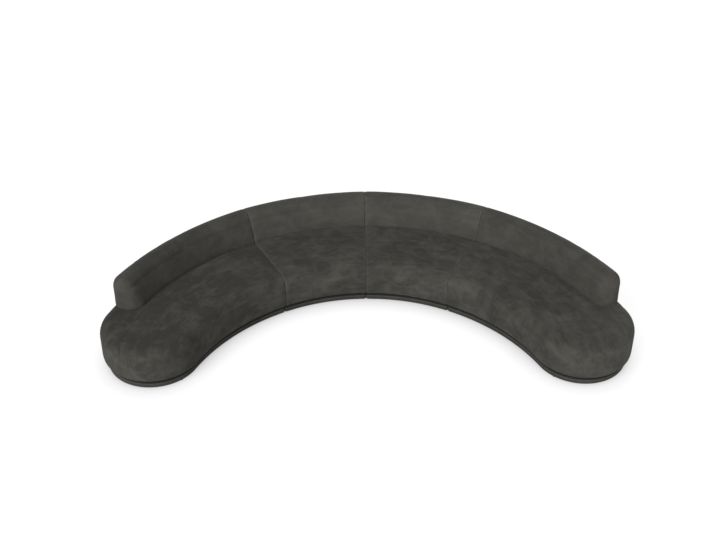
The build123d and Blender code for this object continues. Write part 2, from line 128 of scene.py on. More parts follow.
ARC_CENTRE = np.zeros(2)
FRONT_SHIFT = END_FRONT - SEAT_FRONT
FRONT_CENTRE = outward(JOINT) * -FRONT_SHIFT
LEAN_IN = FRONT_SHIFT * math.cos(PAD - JOINT)
PAD_RADIUS = (
    (BACK_FACE**2 + FRONT_SHIFT**2 + 2 * LEAN_IN * BACK_FACE - END_FRONT**2)
    / (2 * (END_FRONT + BACK_FACE + LEAN_IN))
)
PAD_CENTRE = outward(PAD) * (BACK_FACE - PAD_RADIUS)
TIP = sideways(PAD)
TO_PAD = (PAD_CENTRE - FRONT_CENTRE) / np.linalg.norm(PAD_CENTRE - FRONT_CENTRE)
FRONT_TURN = -math.pi / 2 - math.asin(float(TO_PAD @ TIP))
CORNER_TURN = math.radians(48)

BACK_LEVEL = float(crown(CREASE)) + CREASE_GAP
TOP_RADIUS = BACK_FACE - TOP_ROUND
TOP_LEVEL = BACK_HEIGHT - TOP_ROUND
FOOT_HALF = (BACK_FACE - CREASE) / 2
STRIP = BACK_END - FOOT_HALF / (CREASE + FOOT_HALF)


def circle_point(turn, size=PAD_RADIUS):
    """Point and inward normal on a circle round the pad. Turn 0 is its tip, and it grows towards the back."""
    direction = TIP * math.cos(turn) + outward(PAD) * math.sin(turn)
    return PAD_CENTRE + direction * size, -direction


# Mesh building

class Shell:
    """Quads gathered patch by patch. Points that coincide become one vertex."""

    def __init__(self):
        self.points = []
        self.faces = []
        self.marks = []
        self.count = 0

    def patch(self, grid, marks=None, skip=None):
        """Adds a grid of points, shape (rows, columns, 3), and a mark for each point."""
        grid = np.asarray(grid, float)
        rows, columns = grid.shape[:2]
        index = np.arange(rows * columns).reshape(rows, columns) + self.count
        quads = np.stack([index[:-1, :-1], index[1:, :-1], index[1:, 1:], index[:-1, 1:]], -1)
        if skip is not None:
            quads = quads[~skip]
        marks = np.zeros(rows * columns) if marks is None else np.asarray(marks, float)
        self.points.append(grid.reshape(-1, 3))
        self.faces.append(quads.reshape(-1, 4))
        self.marks.append(marks.reshape(-1))
        self.count += rows * columns

    def arrays(self):
        """Points, faces and marks of the whole shell, wound outward."""
        points, faces, marks = (np.concatenate(x) for x in (self.points, self.faces, self.marks))
        _, first, where = np.unique(np.round(points, 6), axis=0, return_index=True, return_inverse=True)
        where = where.reshape(-1)
        top_marks = np.zeros(len(first))
        np.maximum.at(top_marks, where, marks)
        points, faces = points[first], where[faces]
        whole = [len(set(face)) == 4 for face in faces.tolist()]
        return points, wound(points, faces[whole]), top_marks


def wound(points, faces):
    """Faces wound alike across the shell, and outward."""
    mesh = bpy.data.meshes.new("winding")
    mesh.from_pydata(points.tolist(), [], faces.tolist())
    work = bmesh.new()
    work.from_mesh(mesh)
    bmesh.ops.recalc_face_normals(work, faces=work.faces)
    work.to_mesh(mesh)
    work.free()
    faces = np.zeros(len(mesh.loops), int)
    mesh.loops.foreach_get("vertex_index", faces)
    bpy.data.meshes.remove(mesh)
    faces = faces.reshape(-1, 4)
    a, b, c, d = (points[faces[:, i]] for i in range(4))
    volume = np.einsum("ij,ij->i", a, np.cross(b, c)).sum() + np.einsum("ij,ij->i", a, np.cross(c, d)).sum()
    return faces if volume > 0 else faces[:, ::-1]


def make_object(name, points, faces, mirrored=False):
    """Mesh object from points about the arc's centre, with its normals outward."""
    points = np.array(points)
    if mirrored:
        points[:, 0] *= -1
        faces = faces[:, ::-1]
    points[:, 1] -= ROW_SHIFT
    middle = (points.min(0) + points.max(0)) / 2
    mesh = bpy.data.meshes.new(name)
    mesh.from_pydata((points - middle).tolist(), [], faces.tolist())
    mesh.validate()
    mesh.update()
    mesh.polygons.foreach_set("use_smooth", [True] * len(mesh.polygons))
    made = bpy.data.objects.new(name, mesh)
    made.location = middle
    bpy.context.scene.collection.objects.link(made)
    return made


def read(items, key, width=3):
    """Values that a mesh's items hold under a key, one row for each item."""
    values = np.zeros(len(items) * width)
    items.foreach_get(key, values)
    return values.reshape(-1, width)


def coons(front, rear, start, stop):
    """Plan points between four border lines. front and rear run along, start and stop run across."""
    u = steps(len(front) - 1)[:, None, None]
    v = steps(len(start) - 1)[None, :, None]
    along = front[:, None] * (1 - v) + rear[:, None] * v
    across = start[None, :] * (1 - u) + stop[None, :] * u
    corners = (
        front[0] * (1 - u) * (1 - v) + front[-1] * u * (1 - v) + rear[0] * (1 - u) * v + rear[-1] * u * v
    )
    return along + across - corners


def relaxed(grid, rounds):
    """The grid with its inner points evened out."""
    grid = grid.copy()
    for _ in range(rounds):
        grid[1:-1, 1:-1] = (grid[:-2, 1:-1] + grid[2:, 1:-1] + grid[1:-1, :-2] + grid[1:-1, 2:]) / 4
    return grid


def with_height(plan, heights):
    """Plan points lifted to heights."""
    heights = np.broadcast_to(heights, plan.shape[:-1])
    return np.concatenate([plan, heights[..., None]], -1)


def segments(*stops):
    """Numbers from stop to stop: segments(a, 3, b, 2, c) goes from a to b in 3 steps and on to c in 2."""
    values = [stops[0]]
    for count, stop in zip(stops[1::2], stops[2::2]):
        values += list(np.linspace(values[-1], stop, count + 1)[1:])
    return np.array(values)


# Cross-sections. Near a joint they lie close together, and the shape is drawn in there

ROUNDING = np.radians([0, 18, 36, 54, 72, 90])
SIDE_OFFSETS = CLOTH_GAP + JOINT_WIDTH * (1 - np.cos(ROUNDING))
SIDE_INSETS = JOINT_DEPTH * (1 - np.sin(ROUNDING))
FAR_JOINT = 2.0


def stations(kind, count):
    """Cross-sections of a module: start angle, distance from the joint, share of the way on, and inset."""
    start = JOINT if kind == "end" else 0.0
    rounded = list(zip(SIDE_OFFSETS, SIDE_INSETS))
    found = [(start, offset, 0.0, inset) for offset, inset in rounded]
    found += [(start, SIDE_OFFSETS[-1], share, 0.0) for share in steps(count)[1:]]
    if kind == "middle":
        found += [(start, offset, FAR_JOINT, inset) for offset, inset in rounded[-2::-1]]
    return found


def angle_at(kind, station, radius, stop=None):
    """Angle of a station at a radius. Sides stay square to the joint's plane."""
    start, offset, share, _ = station
    if share == FAR_JOINT:
        return JOINT - math.asin(offset / radius)
    first = start + math.asin(offset / radius)
    last = JOINT - math.asin(offset / radius) if kind == "middle" else stop
    return first + (last - first) * share


# Seats

FOOT_TURNS = np.radians([0, 22, 45, 67, 90])
TOP_INSETS = np.array([0, 0.002, 0.0075, 0.0165, 0.028, 0.042, 0.056, 0.066, SEAM_INSET, 0.078, FRONT_ROUND])
TOP_TURNS = np.arccos(1 - TOP_INSETS / FRONT_ROUND)
WALL_LEVELS = segments(
    PLINTH_TOP + FOOT_ROUND, 2, WINDOW_LEVEL - WINDOW_HALF[1], 3, WINDOW_LEVEL + WINDOW_HALF[1], 6, WALL_TOP
)
STRETCH_SHARE = 0.6
SEAM_MARKS = np.concatenate([np.zeros(len(FOOT_TURNS) + len(WALL_LEVELS) - 1), TOP_INSETS[1:] == SEAM_INSET])
RADII = segments(
    SEAT_FRONT + FRONT_ROUND, 5, WINDOW_RADII[0] - WINDOW_HALF[0], 5, WINDOW_RADII[0] + WINDOW_HALF[0], 17,
    WINDOW_RADII[1] - WINDOW_HALF[0], 5, WINDOW_RADII[1] + WINDOW_HALF[0], 7, SEAT_EDGE
)
RADIUS_SHARES = (RADII - RADII[0]) / (RADII[-1] - RADII[0])
WINDOW_ROWS = (len(FOOT_TURNS) + 1, len(FOOT_TURNS) + 4)
WINDOW_COLUMNS = ((5, 10), (27, 32))
POCKET_SHARES = (0, 0.3, 1)
KNEE = 5
KNEE_RISE = 0.1
HIDDEN_INSET = 0.1


def wall(point, normal, top_round, extra):
    """Points up a seat's side from the foot to the top, at a point of its outline, drawn in by extra."""
    foot = FOOT_ROUND - extra
    top = max(top_round - extra, LEAST_ROUND)
    bottom = PLINTH_TOP + extra
    rows = [(extra + foot * (1 - math.sin(t)), bottom + foot * (1 - math.cos(t))) for t in FOOT_TURNS]
    hub = float(crown(np.linalg.norm(point + normal * (extra + top)))) - extra - top
    shares = (WALL_LEVELS - WALL_LEVELS[0]) / (WALL_TOP - WALL_LEVELS[0])
    stretch = np.maximum(0, (shares - STRETCH_SHARE) / (1 - STRETCH_SHARE)) * (hub - WALL_TOP)
    rows += [(extra, level) for level in (WALL_LEVELS + stretch)[1:]]
    rows += [(extra + top * (1 - math.cos(t)), hub + top * math.sin(t)) for t in TOP_TURNS[1:]]
    return np.array([(*(point + normal * inset), height) for inset, height in rows])


def joint_cap(front_wall, rear_wall, top_line):
    """Grid over a seat's face at a joint. Its rows bend where the front's rounding ends."""
    spread = (RADII[KNEE:] - RADII[KNEE]) / (RADII[-1] - RADII[KNEE])
    rows = []
    for a, b in zip(front_wall, rear_wall):
        knee = np.array([*top_line[KNEE][:2], a[2] + (b[2] - a[2]) * KNEE_RISE])
        rows.append(np.concatenate([between(a, knee, steps(KNEE))[:-1], between(knee, b, spread)]))
    rows[-1] = top_line
    rows = np.array(rows)
    rows[:, 0], rows[:, -1] = front_wall, rear_wall
    return rows


def window_pockets(shell, cap, into):
    """Sides of the openings round the connector plates, from a joint's face inwards."""
    depth = np.array([*into, 0]) * WINDOW_DEPTH
    low, high = WINDOW_ROWS
    for first, last in WINDOW_COLUMNS:
        ring = [cap[low, c] for c in range(first, last + 1)]
        ring += [cap[r, last] for r in range(low + 1, high + 1)]
        ring += [cap[high, c] for c in range(last - 1, first - 1, -1)]
        ring += [cap[r, first] for r in range(high - 1, low - 1, -1)]
        shell.patch(np.stack([np.array(ring) + depth * share for share in POCKET_SHARES], 1))


def end_reach(plan):
    """Distance inwards from an end module's outline, at plan points."""
    from_front = np.linalg.norm(plan - FRONT_CENTRE, axis=-1) - END_FRONT
    from_rear = BACK_FACE - np.linalg.norm(plan, axis=-1)
    off_pad = PAD_RADIUS - np.linalg.norm(plan - PAD_CENTRE, axis=-1)
    past = (plan - PAD_CENTRE) @ TIP > 0
    return np.where(past, off_pad, np.minimum(from_front, from_rear))


def joint_distance(points, kind):
    """Distance from the nearest joint's middle plane."""
    if kind == "end":
        return points[..., :2] @ sideways(JOINT)
    return np.minimum(points[..., 0], -(points[..., :2] @ sideways(JOINT)))


LIFT = 0.0028
LIFT_REACH = (0.045, 0.070)


def lift_bottom(bottoms, kind):
    """Lifts the inner part of a seat's underside a little over the lining cloth."""
    plan = bottoms[..., :2]
    radius = np.linalg.norm(plan, axis=-1)
    reach = end_reach(plan) if kind == "end" else np.minimum(radius - SEAT_FRONT, SEAT_REAR - radius)
    reach = np.minimum(reach, joint_distance(plan, kind))
    lifted = PLINTH_TOP + LIFT * smooth(reach, *LIFT_REACH)
    bottoms[1:-1, 1:-1, 2] = np.maximum(bottoms[1:-1, 1:-1, 2], lifted[1:-1, 1:-1])


def seat_arrays(kind, fronts, rears, tops, bottoms, tip=None, tip_marks=None):
    """Closed shell of a seat from the grids of its sides. An end module's has a tip."""
    lift_bottom(bottoms, kind)
    shell = Shell()
    shell.patch(fronts, np.tile(SEAM_MARKS, (len(fronts), 1)))
    shell.patch(tops)
    shell.patch(bottoms)
    if tip is not None:
        shell.patch(tip, tip_marks)
    joints = ((0, sideways(JOINT)),) if kind == "end" else ((0, sideways(0.0)), (-1, -sideways(JOINT)))
    for end, into in joints:
        cap = joint_cap(fronts[end], rears[end], tops[end])
        cap[0] = bottoms[end]
        windows = np.zeros((len(cap) - 1, len(RADII) - 1), bool)
        for first, last in WINDOW_COLUMNS:
            windows[slice(*WINDOW_ROWS), first:last] = True
        shell.patch(cap, skip=windows)
        window_pockets(shell, cap, into)
    shell.patch(rears)
    return shell.arrays()


def middle_seat():
    """Closed shell of a middle module's seat."""
    fronts, rears, tops, bottoms = [], [], [], []
    for station in stations("middle", 50):
        extra = station[3]

        def spot(radius, height):
            return (*(outward(angle_at("middle", station, radius)) * radius), height)

        normal = outward(angle_at("middle", station, SEAT_FRONT))
        side = wall(normal * SEAT_FRONT, normal, FRONT_ROUND, extra)
        front = np.array([spot(math.hypot(x, y), height) for x, y, height in side])
        normal = outward(angle_at("middle", station, SEAT_EDGE))
        rear = wall(normal * SEAT_EDGE, -normal, HIDDEN_ROUND, extra * HIDDEN_INSET)
        top = np.array([spot(r, float(crown(r)) - extra) for r in RADII])
        low = np.linspace(np.linalg.norm(front[0, :2]), np.linalg.norm(rear[0, :2]), len(RADII))
        bottom = np.array([spot(r, PLINTH_TOP + extra) for r in low])
        top[0], top[-1] = front[-1], rear[-1]
        bottom[0], bottom[-1] = front[0], rear[0]
        for grid, line in ((fronts, front), (rears, rear), (tops, top), (bottoms, bottom)):
            grid.append(line)
    return seat_arrays("middle", *(np.array(grid) for grid in (fronts, rears, tops, bottoms)))


FRONT_STEPS = 70
TOP_EVENING = 400
CIRCLE_STEPS = 16
STRIP_CORNER = 0.008
STRIP_TURNS = np.radians([-1.0, -0.5, -0.08, 0.02, 0.1, 0.25, 0.6, 1.1])
ROUND_TURNS = np.radians([-5, -1])
SEAM_FADE = (-0.2, 0.6)


def end_front_lines():
    """Outline points and inward normals along an end module's front, from the joint to the corner."""
    first = JOINT + math.asin(SIDE_OFFSETS[-1] / END_FRONT)
    last = math.atan2(TO_PAD[0], TO_PAD[1])
    angles = np.linspace(first, last, FRONT_STEPS + 1)
    found = [(FRONT_CENTRE + outward(a) * END_FRONT, outward(a)) for a in angles]
    found += [circle_point(turn) for turn in np.linspace(FRONT_TURN, -CORNER_TURN, CIRCLE_STEPS + 1)[1:]]
    return found


def end_rear_lines():
    """Outline points, inward normals and top roundings along an end module's rear, from the joint on."""
    first = JOINT + math.asin(SIDE_OFFSETS[-1] / SEAT_EDGE)
    dense = list(STRIP + STRIP_TURNS)
    plain = FRONT_STEPS - 2 * len(dense)
    angles = list(np.linspace(first, dense[0], plain + 1)[:-1]) + dense
    angles += list(np.linspace(dense[-1], PAD, FRONT_STEPS + 2 - len(angles))[1:])
    found = []
    for angle in angles:
        past = (angle - STRIP) * BACK_FACE
        if past < 0:
            step = BACK_FACE - STRIP_CORNER - SEAT_EDGE
            radius = SEAT_EDGE + step * smooth(angle, dense[0], dense[2])
        else:
            left = STRIP_CORNER - min(past, STRIP_CORNER)
            radius = BACK_FACE - (STRIP_CORNER - math.sqrt(STRIP_CORNER**2 - left**2))
        top = HIDDEN_ROUND + (FRONT_ROUND - HIDDEN_ROUND) * smooth(angle, *(STRIP + ROUND_TURNS))
        found.append((outward(angle) * radius, -outward(angle), top))
    for turn in np.linspace(math.pi / 2, CORNER_TURN, CIRCLE_STEPS + 1)[1:]:
        found.append((*circle_point(turn), FRONT_ROUND))
    return found


def end_seat():
    """Closed shell of an end module's seat, with its round pad."""
    inner = outward(JOINT)
    fronts, rears = [], []
    for offset, extra in zip(SIDE_OFFSETS[:-1], SIDE_INSETS[:-1]):
        fronts.append(wall(beside_joint(FRONT_CENTRE, END_FRONT, JOINT, offset), inner, FRONT_ROUND, extra))
        point = beside_joint(ARC_CENTRE, SEAT_EDGE, JOINT, offset)
        rears.append(wall(point, -inner, HIDDEN_ROUND, extra * HIDDEN_INSET))
    rounded = len(fronts)
    fronts = np.array(fronts + [wall(*line, FRONT_ROUND, 0) for line in end_front_lines()])
    rears = np.array(rears + [wall(*line, 0) for line in end_rear_lines()])
    turns = np.linspace(-CORNER_TURN, CORNER_TURN, len(RADII))
    tip = np.array([wall(*circle_point(turn), FRONT_ROUND, 0) for turn in turns])
    tip_marks = [SEAM_MARKS * (1 - smooth(turn, *SEAM_FADE)) for turn in turns]
    grids = []
    for level, shares in ((-1, RADIUS_SHARES), (0, steps(len(RADII) - 1))):
        a, b = fronts[:, level, :2], rears[:, level, :2]
        across = np.array([between(a[i], b[i], shares) for i in range(rounded + 1)])
        plan = relaxed(coons(a[rounded:], b[rounded:], across[-1], tip[:, level, :2]), TOP_EVENING)
        grids.append(np.concatenate([across[:-1], plan]))
    extra = np.zeros((len(fronts), 1))
    extra[:rounded, 0] = SIDE_INSETS[:-1]
    tops = with_height(grids[0], crown(np.linalg.norm(grids[0], axis=-1)) - extra)
    bottoms = with_height(grids[1], PLINTH_TOP + extra)
    for grid, level in ((tops, -1), (bottoms, 0)):
        grid[:, 0], grid[:, -1], grid[-1] = fronts[:, level], rears[:, level], tip[:, level]
    return seat_arrays("end", fronts, rears, tops, bottoms, tip, tip_marks)


# Backrests. The inner face is a slight belly from the crease to where it touches the round top

CHORD = np.array([CREASE - TOP_RADIUS, BACK_LEVEL - TOP_LEVEL])
SWING = math.atan2(CHORD[1], CHORD[0]) % (2 * math.pi) - math.acos(TOP_ROUND / np.linalg.norm(CHORD))
SWUNG = np.array([math.cos(SWING), math.sin(SWING)])
TOUCH = np.array([TOP_RADIUS, TOP_LEVEL]) + SWUNG * TOP_ROUND
FOOT = np.array([CREASE, BACK_LEVEL])
BELLY_RADIUS = (np.linalg.norm(TOUCH - FOOT)**2 / 4 + BELLY**2) / (2 * BELLY)
BELLY_HUB = (FOOT + TOUCH) / 2 - SWUNG * (BELLY_RADIUS - BELLY)

BACK_STEPS = {"middle": 58, "end": 78}
ROWS_WALL = 10
ROWS_CORNER = 5
COLUMNS_IN = 8
COLUMNS_OUT = 6
COLUMNS = COLUMNS_IN + COLUMNS_OUT
ROWS_LOW = 16
WALL_SHARES = np.array([0, 0.03, *np.linspace(0.075, 1, ROWS_WALL - 1)])
FOOT_DRAWN = np.array([0.0075, 0.0022, *[0.0] * (ROWS_WALL - 1)])
FOOT_ROWS = 5
SINK = 0.0015
SOLE_EVENING = 60
STRIP_FADE = 0.05
STRIP_TUCK = 0.006


def section_hub(height):
    """Middle radius and half width of the backrest at a height."""
    if height >= TOUCH[1]:
        inner = TOP_RADIUS - math.sqrt(max(TOP_ROUND**2 - (height - TOP_LEVEL)**2, 0))
    else:
        rise = max(height, BACK_LEVEL) - BELLY_HUB[1]
        inner = BELLY_HUB[0] - math.sqrt(BELLY_RADIUS**2 - rise**2)
    return (inner + BACK_FACE) / 2, (BACK_FACE - inner) / 2


def end_hub(height):
    """Angle of the middle of the round end at a height. The end leans in towards its top."""
    height = min(max(height, BACK_LEVEL), TOP_LEVEL)
    line, half = section_hub(height)
    lean = END_LEAN * (height - BACK_LEVEL) / (TOP_LEVEL - BACK_LEVEL)
    return BACK_END - (half + lean) / line


def cube(share):
    """Place on a cube's face that spaces the directions through it evenly."""
    return math.tan(share * math.pi / 4)


def seat_surface(point):
    """Height of the end module's seat at a plan point, with its rounded edge."""
    inside = max(FRONT_ROUND - max(float(end_reach(np.array(point))), 0), 0)
    drop = FRONT_ROUND - math.sqrt(FRONT_ROUND**2 - inside**2)
    return float(crown(np.linalg.norm(point))) - drop


def back_point(place, tip, radial, up, height, extra):
    """Point of the backrest in a direction. place gives the angle at a radius and height."""
    if up > 0:
        size = TOP_ROUND - extra
        length = math.sqrt(tip * tip + radial * radial + up * up)
        line, level, height = TOP_RADIUS, TOP_LEVEL, TOP_LEVEL + up / length * size
    else:
        line, size = section_hub(height)
        size -= extra
        length, level = math.hypot(tip, radial), height
    radius = line + radial / length * size
    if tip == 0:
        return (*(outward(place(radius, level)) * radius), height)
    angle = place(line, level)
    return (*(outward(angle) * radius + sideways(angle) * (tip / length * size)), height)


def side_rows(place, tip, radial, extra, low, drawn):
    """Points up one side of the backrest: its wall, then the first part of the round top."""
    heights = low + (TOP_LEVEL - low) * WALL_SHARES
    insets = extra + drawn * FOOT_DRAWN
    rows = [back_point(place, tip, radial, 0, z, inset) for z, inset in zip(heights, insets)]
    for row in range(1, ROWS_CORNER + 1):
        up = cube(row / ROWS_CORNER) * max(tip, abs(radial))
        rows.append(back_point(place, tip, radial, up, TOP_LEVEL, extra))
    return rows


def top_rows(place, tip, extra):
    """Points across the round top."""
    return [back_point(place, tip, cube(s), 1, TOP_LEVEL, extra) for s in np.linspace(-1, 1, COLUMNS + 1)]


def low_rows(place, extra, tuck):
    """Points down the outer face below the seat's level, and round its foot, with the radius drawn in."""
    foot = FOOT_ROUND - extra
    bottom = PLINTH_TOP + extra + foot
    rows = []
    for height in bottom + (BACK_LEVEL - bottom) * np.linspace(1, 0, ROWS_LOW + 1):
        fade = 1 - smooth(height, BACK_LEVEL - STRIP_FADE, BACK_LEVEL)
        rows.append((BACK_FACE - extra - tuck * fade, height))
    for turn in FOOT_TURNS[1:]:
        rows.append((BACK_FACE - extra - tuck - foot * (1 - math.cos(turn)), bottom - foot * math.sin(turn)))
    return [(*(outward(place(r, z)) * r), z) for r, z in rows]


def back_section(place, extra, tuck):
    """Lines of one cross-section of the backrest.

    They are its inner side, its top, its outer side, the strip down behind the seat, that strip's inner side,
    the sole on the seat, and the base of the strip.
    """
    low = BACK_LEVEL - SINK
    inner = side_rows(place, 0, -1, extra, low, 1)
    outer = side_rows(place, 0, 1, extra, BACK_LEVEL, 0)
    lower = low_rows(place, extra, tuck)
    lower[0] = outer[0]
    inside = [(*(outward(place(SEAT_REAR, z)) * SEAT_REAR), z) for _, _, z in lower]
    inside[0] = (*inside[0][:2], low)
    inner, outer, lower, inside = (np.array(line) for line in (inner, outer, lower, inside))
    under = between(inner[0], inside[0], steps(COLUMNS_IN))
    base = between(lower[-1], inside[-1], steps(COLUMNS_OUT))
    return inner, top_rows(place, 0, extra), outer, lower, inside, under, base


def back_shell(kind):
    """Closed shell of a module's backrest."""
    found = stations(kind, BACK_STEPS[kind])
    places = [(lambda r, z, s=s: angle_at(kind, s, r, end_hub(z))) for s in found]
    tucks = [0.0] * (len(found) - 1) + [STRIP_TUCK if kind == "end" else 0.0]
    sections = [back_section(place, s[3], tuck) for s, place, tuck in zip(found, places, tucks)]
    grids = [np.array(grid) for grid in zip(*sections)]
    shell = Shell()
    for grid in grids:
        shell.patch(grid)
    for end in (0, -1) if kind == "middle" else (0,):
        close_joint(shell, *(grid[end] for grid in grids))
    if kind == "end":
        round_end(shell, places[-1], *(grid[-1] for grid in grids))
    return shell.arrays()


def close_strip(shell, lower, inside, edge, base):
    """Grid over the end of the strip behind the seat."""
    strip = np.array([between(a, b, steps(COLUMNS_OUT)) for a, b in zip(lower, inside)])
    strip[0] = edge[::-1]
    strip[-1] = base
    shell.patch(strip)


def close_joint(shell, inner, top, outer, lower, inside, under, base):
    """Flat grids over the backrest's face at a joint."""
    edge = between(under[-1], outer[0], steps(COLUMNS_OUT))
    foot = np.concatenate([under, edge[1:]])
    spaced = np.linalg.norm((foot - foot[0])[:, :2], axis=1)
    rows = [foot]
    for k in range(1, ROWS_WALL + 1):
        fade = max(0, 1 - k / FOOT_ROWS)
        even = between(inner[k], outer[k], steps(COLUMNS))
        rows.append(even * (1 - fade) + between(inner[k], outer[k], spaced / spaced[-1]) * fade)
    for k in range(ROWS_WALL + 1, ROWS_WALL + ROWS_CORNER):
        chord = between(inner[k], outer[k], steps(COLUMNS))
        chord[:, 2] += (top[:, 2] - top[0, 2]) * ((k - ROWS_WALL) / ROWS_CORNER)**2
        rows.append(chord)
    rows = np.array([*rows, top])
    rows[:, 0], rows[:, -1], rows[0] = inner, outer, foot
    shell.patch(rows)
    close_strip(shell, lower, inside, edge, base)


def round_end(shell, place, inner, _, outer, lower, inside, under, base):
    """Round end of the backrest, which stands on the pad, and the end of the strip below it."""

    def column(tip, radial, drawn=1):
        foot = back_point(place, tip, radial, 0, BACK_LEVEL, 0)
        low = min(seat_surface(foot[:2]), BACK_LEVEL) - SINK
        return np.array(side_rows(place, tip, radial, 0, low, drawn))

    shares = steps(ROWS_CORNER)
    near = np.array([inner, *(column(cube(s), -1) for s in shares[1:])])
    far = np.array([outer, *(column(cube(s), 1, s) for s in shares[1:])])
    across = np.array([column(1, cube(s)) for s in np.linspace(-1, 1, COLUMNS + 1)])
    across[0], across[-1] = near[-1], far[-1]
    top = np.array([top_rows(place, cube(s), 0) for s in shares])
    top[:, 0], top[:, -1], top[-1] = near[:, -1], far[:, -1], across[:, -1]
    edge = between(under[-1], outer[0], steps(COLUMNS_OUT))
    for point in edge[1:-1]:
        point[2] = min(point[2], seat_surface(point[:2]) - SINK)
    line = np.concatenate([under, edge[1:]])
    sole = relaxed(coons(near[:, 0, :2], far[:, 0, :2], line[:, :2], across[:, 0, :2]), SOLE_EVENING)
    sole = with_height(sole, [[seat_surface(p) - SINK for p in row] for row in sole])
    sole[0], sole[:, 0], sole[:, -1], sole[-1] = line, near[:, 0], far[:, 0], across[:, 0]
    for grid in (near, far, across, top, sole):
        shell.patch(grid)
    close_strip(shell, lower, inside, edge, base)


SHAPES = {
    "middle_seat": middle_seat(), "end_seat": end_seat(),
    "middle_back": back_shell("middle"), "end_back": back_shell("end"),
}


# Cloth. The foam under it resists where the fabric would sink in, so only a share of that is kept

CLOTH = {
    "quality": 6, "mass": 0.35, "air_damping": 3, "tension_stiffness": 18, "compression_stiffness": 18,
    "shear_stiffness": 6, "bending_stiffness": 0.6, "tension_damping": 8, "compression_damping": 8,
    "shear_damping": 8, "bending_damping": 1, "use_pressure": True, "uniform_pressure_force": 4,
    "shrink_min": -0.004, "vertex_group_mass": "held",
}
FRAMES = 20
FARTHEST = 0.008
SINKING = 0.3
HELD_SIDE = 0.006
HELD_FOOT = 0.012
HELD_LEVEL = 0.003
COVERED_FROM = 0.004
COVERED_UNTIL = 0.02
OUTER_FREE = 0.02
STRIP_HELD = 0.012


def held_points(points, kind, part):
    """Indices of the points that stay: at the joints, at the foot, and where seat and backrest meet."""
    radius = np.hypot(points[:, 0], points[:, 1])
    angle = np.arctan2(points[:, 0], points[:, 1])
    held = joint_distance(points, kind) < CLOTH_GAP + HELD_SIDE
    held |= points[:, 2] < PLINTH_TOP + HELD_FOOT
    if part == "seat":
        held |= (radius > CREASE + COVERED_FROM) & (angle < BACK_END - COVERED_UNTIL)
    else:
        over_seat = (radius < BACK_FACE - OUTER_FREE) | (angle > STRIP - STRIP_HELD)
        held |= (points[:, 2] < BACK_LEVEL + HELD_LEVEL) & over_seat
    return np.flatnonzero(held).tolist()


def puff(shapes):
    """Lets the fabric of each shape swell under a little pressure, and stores where its points end up."""
    scene = bpy.context.scene
    pieces = {}
    for name, (points, faces, _) in shapes.items():
        kind, part = name.split("_")
        mesh = bpy.data.meshes.new(name)
        mesh.from_pydata(points.tolist(), [], faces.tolist())
        pieces[name] = piece = bpy.data.objects.new(name, mesh)
        scene.collection.objects.link(piece)
        piece.vertex_groups.new(name="held").add(held_points(points, kind, part), 1.0, "REPLACE")
        cloth = piece.modifiers.new("cloth", "CLOTH")
        for key, value in CLOTH.items():
            setattr(cloth.settings, key, value)
        cloth.settings.effector_weights.gravity = 0
        cloth.point_cache.frame_start, cloth.point_cache.frame_end = 1, FRAMES
    for number in range(1, FRAMES + 1):
        scene.frame_set(number)
    shaped = bpy.context.evaluated_depsgraph_get()
    for name, piece in pieces.items():
        points, faces, marks = shapes[name]
        step = read(piece.evaluated_get(shaped).data.vertices, "co") - points
        normal = read(piece.data.vertices, "normal")
        sunk = np.minimum(0, np.einsum("ij,ij->i", step, normal))
        step -= normal * (sunk * (1 - SINKING))[:, None]
        size = np.linalg.norm(step, axis=1, keepdims=True)
        step *= FARTHEST * np.tanh(size / FARTHEST) / np.maximum(size, 1e-9)
        shapes[name] = points + step, faces, marks
    scene.frame_set(1)
    for piece in pieces.values():
        mesh = piece.data
        bpy.data.objects.remove(piece)
        bpy.data.meshes.remove(mesh)


puff(SHAPES)


# Soft pieces

WAVES = ((0.75, 3.2), (0.3, 9), (0.12, 24))
WAVE_HEIGHT = 0.0016
SEAM_DEPTH = 0.0030
FADE_AT_JOINT = (0.012, 0.06)
FADE_AT_FOOT = (0.01, 0.03)
JOINT_HIGHLIGHT_WIDTH = 0.022
PAD_SPREAD = (0.95, 0.2)
PAD_MARGIN = 0.01
END_SPREAD = (BACK_END - 0.10, 0.04)
FACING_SPREAD = (0.35, 0.4)
# Painted light on the pads' fronts and on the backs' round ends. The left end's back gets more of it.
PAD_FRONT_LIGHT = 0.35
BACK_END_LIGHT = {True: 0.34, False: 0.10}


def undulation(place, seed):
    """Slight unevenness of stuffed fabric at a place, between about -1 and 1."""
    shifted = Vector((place[0] + seed * 3.1, place[1] - seed * 1.7, place[2] + seed))
    return sum(share * noise.noise(shifted * scale) for share, scale in WAVES)


def about_arc(piece):
    """Places of a piece's points about the arc's centre."""
    return read(piece.data.vertices, "co") + np.array(piece.location) + np.array([0, ROW_SHIFT, 0])


